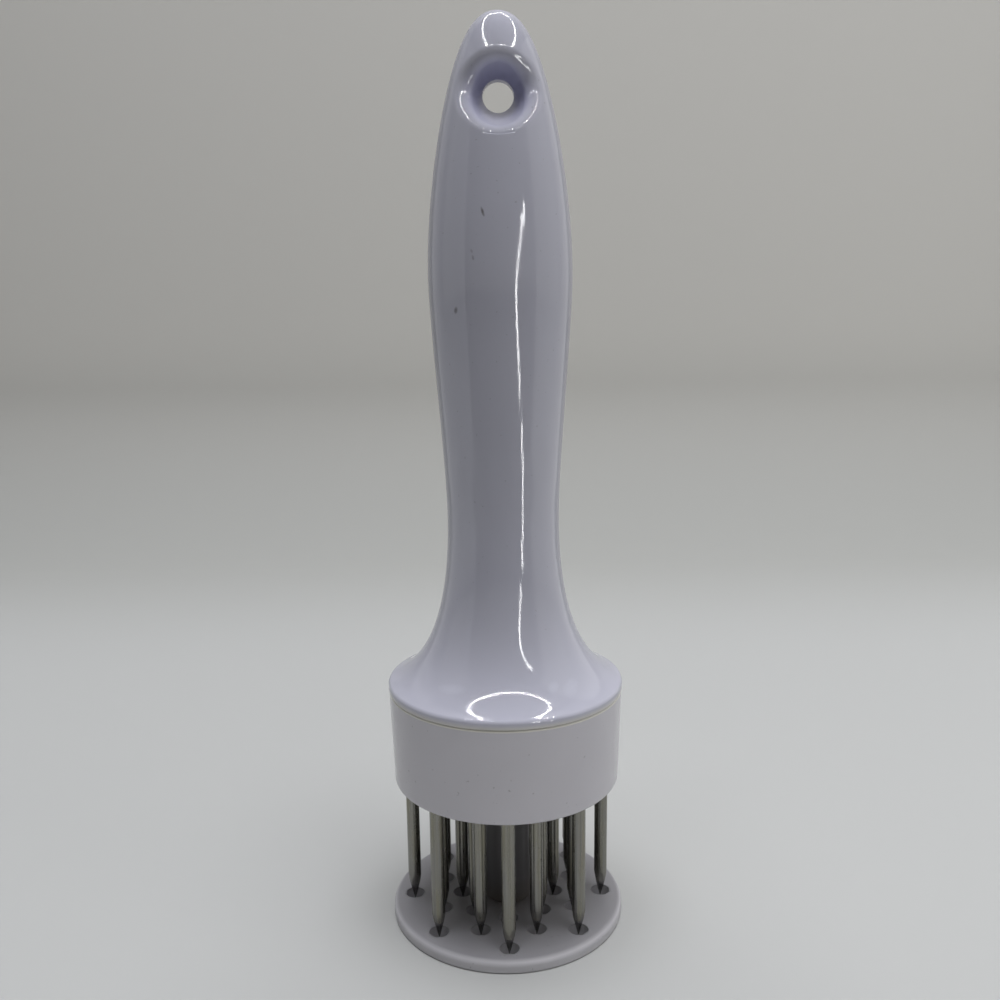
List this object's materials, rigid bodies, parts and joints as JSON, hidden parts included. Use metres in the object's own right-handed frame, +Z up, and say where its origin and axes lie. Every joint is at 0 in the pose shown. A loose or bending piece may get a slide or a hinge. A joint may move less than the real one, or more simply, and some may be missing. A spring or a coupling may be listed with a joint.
{
  "type": "needle meat tenderizer",
  "caption": "Hand-held meat tenderizer: a moulded handle with a hanging hole over a cup of pointed steel needles, and a sprung guard plate that covers their points.",
  "frame": {"origin": "centre of the guard plate's underside, where the tool stands", "axes": "+Z up the handle, +Y to the back; the hanging hole runs along Y"},
  "size_m": [0.0542, 0.0542, 0.2],
  "materials": {
    "handle_plastic": "glossy pale lavender-white moulding",
    "cup_plastic": "glossy pale lavender-white moulding",
    "guard_plastic": "semi-gloss pale lavender-white moulding",
    "post_plastic": "semi-gloss pale lavender-white moulding",
    "plate_plastic": "plain moulded",
    "guide_plastic": "natural acetal",
    "needle_steel": "drawn and ground, bright with a faint yellow tint",
    "spring_steel": "bright drawn wire",
    "screw_steel": "zinc plated"
  },
  "bodies": {
    "handle_assembly": {"handle": "handle_plastic", "needle_holder": "cup_plastic", "needle_plate": "plate_plastic", "plate_screws": "screw_steel", "needle_inner_1": "needle_steel", "needle_inner_2": "needle_steel", "needle_inner_3": "needle_steel", "needle_inner_4": "needle_steel", "needle_inner_5": "needle_steel", "needle_inner_6": "needle_steel", "needle_inner_7": "needle_steel", "needle_inner_8": "needle_steel", "needle_middle_1": "needle_steel", "needle_middle_2": "needle_steel", "needle_middle_3": "needle_steel", "needle_middle_4": "needle_steel", "needle_middle_5": "needle_steel", "needle_middle_6": "needle_steel", "needle_middle_7": "needle_steel", "needle_middle_8": "needle_steel", "needle_outer_1": "needle_steel", "needle_outer_2": "needle_steel", "needle_outer_3": "needle_steel", "needle_outer_4": "needle_steel", "needle_outer_5": "needle_steel", "needle_outer_6": "needle_steel", "needle_outer_7": "needle_steel", "needle_outer_8": "needle_steel", "spring_guide": "guide_plastic", "return_spring": "spring_steel"},
    "guard": {"guide_post": "post_plastic", "guard_disc": "guard_plastic", "guard_screw": "screw_steel"}
  },
  "joints": [
    {"name": "guard_slide", "type": "slide", "parent": "handle_assembly", "child": "guard", "axis": [0, 0, 1], "range_m": [0, 0.03075], "stiffness_N_per_m": 700, "springref_m": -0.012, "deforming": ["return_spring"]}
  ]
}
